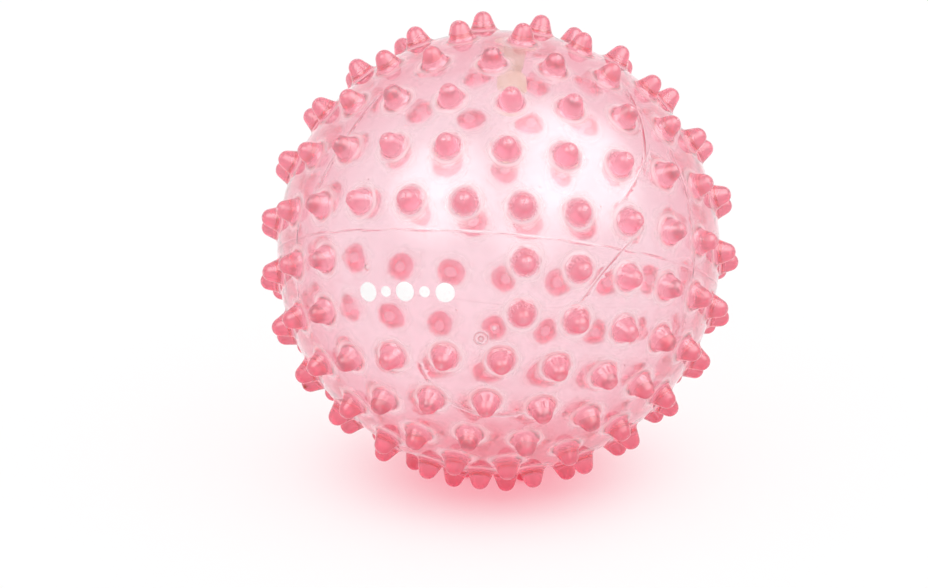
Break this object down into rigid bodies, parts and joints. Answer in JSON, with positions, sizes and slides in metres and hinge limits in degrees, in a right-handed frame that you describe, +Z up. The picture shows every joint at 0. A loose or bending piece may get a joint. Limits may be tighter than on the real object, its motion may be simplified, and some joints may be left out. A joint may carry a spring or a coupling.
{
  "type": "inflatable sensory ball",
  "caption": "Inflatable translucent soft-plastic ball covered in rows of hollow-footed bell-shaped knobs, with a valve and pull-out plug sunk in one pole.",
  "frame": {"origin": "point of the floor under the middle of the ball's box, with the ball lying on three knobs", "axes": "+Z up from the floor, -Y towards the picture's camera, +X to its right; the valve's pole leans towards +Y"},
  "size_m": [0.199, 0.1992, 0.1982],
  "materials": {
    "skin_pvc": "gloss, soft translucent PVC",
    "sleeve_pvc": "satin, soft natural PVC",
    "plug_pe": "satin, natural polyethylene",
    "white_ink": "flat pad-printed ink"
  },
  "bodies": {
    "ball": {"ball_skin": "skin_pvc", "valve_sleeve": "sleeve_pvc", "window_print": "white_ink"},
    "plug": {"valve_plug": "plug_pe"}
  },
  "joints": [
    {"name": "plug_pull", "type": "slide", "parent": "ball", "child": "plug", "axis": [0.0811, 0.5118, 0.8553], "range_m": [0, 0.03]}
  ]
}
